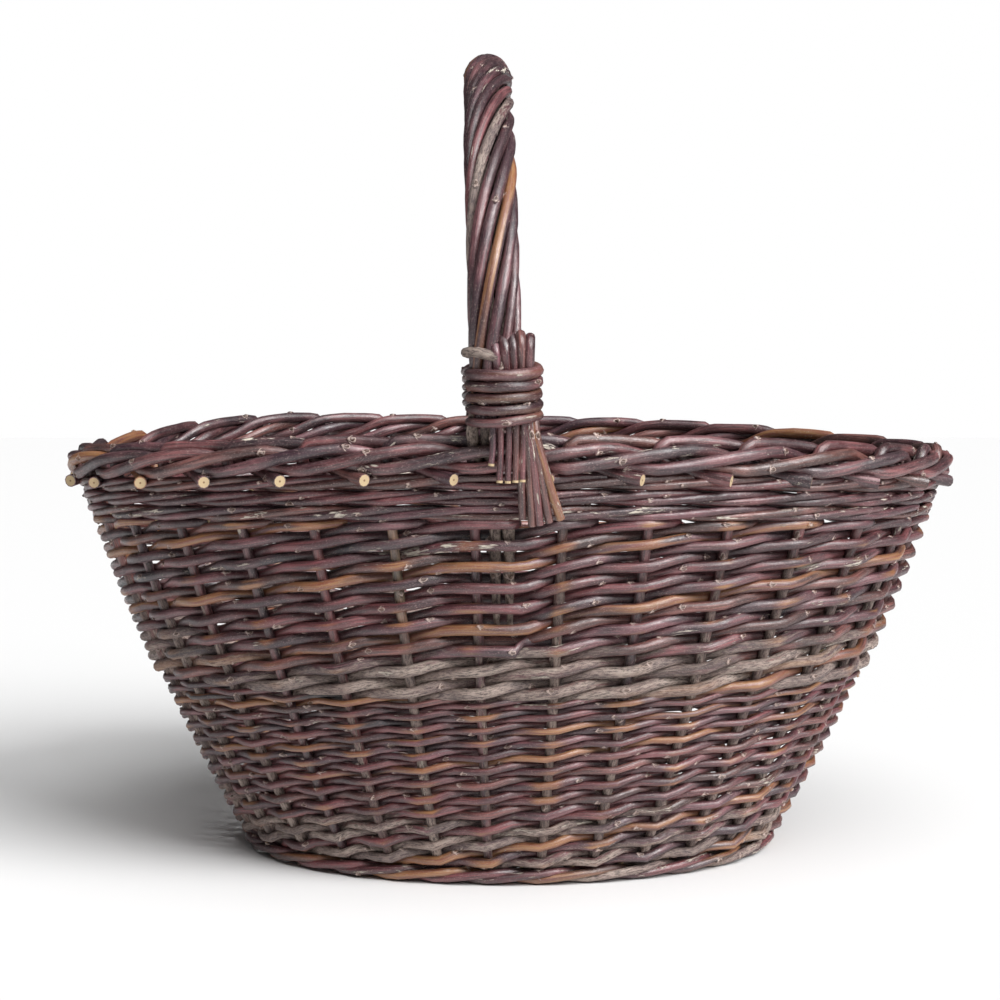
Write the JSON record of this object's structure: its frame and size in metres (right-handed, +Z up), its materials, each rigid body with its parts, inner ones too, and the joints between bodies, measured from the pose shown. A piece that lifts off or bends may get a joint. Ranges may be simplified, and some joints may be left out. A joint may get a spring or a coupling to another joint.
{
  "type": "wicker market basket",
  "caption": "Oval market basket of whole willow rods with randed sides, a rod border and a roped bow handle across its width; open at the top",
  "frame": {"origin": "middle of the rest plane, under the middle of the bounding box", "axes": "+Z up, X along the oval, Y across it along the handle; the side seen in the picture faces -Y"},
  "size_m": [0.4792, 0.3757, 0.4304],
  "materials": {
    "dark_stakes": "satin",
    "maroon_willow": "satin",
    "purple_willow": "satin",
    "brown_willow": "satin",
    "base_sticks": "satin",
    "base_willow": "satin",
    "grey_bow_bark": "satin",
    "roping_willow": "satin",
    "collar_willow": "satin"
  },
  "bodies": {
    "root": {"front_stakes": "dark_stakes", "right_end_stakes": "dark_stakes", "back_stakes": "dark_stakes", "left_end_stakes": "dark_stakes", "bottom_wale_rods": "maroon_willow", "lower_rand_rods_from_front": "maroon_willow", "lower_rand_rods_from_right": "maroon_willow", "lower_rand_rods_from_back": "maroon_willow", "lower_rand_rods_from_left": "maroon_willow", "upper_rand_rods_from_front": "purple_willow", "upper_rand_rods_from_right": "purple_willow", "upper_rand_rods_from_back": "purple_willow", "upper_rand_rods_from_left": "purple_willow", "lower_top_wale_rods": "brown_willow", "upper_top_wale_rods": "brown_willow", "base_cross_sticks": "base_sticks", "base_long_sticks": "base_sticks", "inner_base_rods": "base_willow", "outer_base_rods": "base_willow", "bow_left_stick": "grey_bow_bark", "bow_right_stick": "grey_bow_bark", "roping_strands": "roping_willow", "collar_bindings": "collar_willow"}
  },
  "joints": []
}
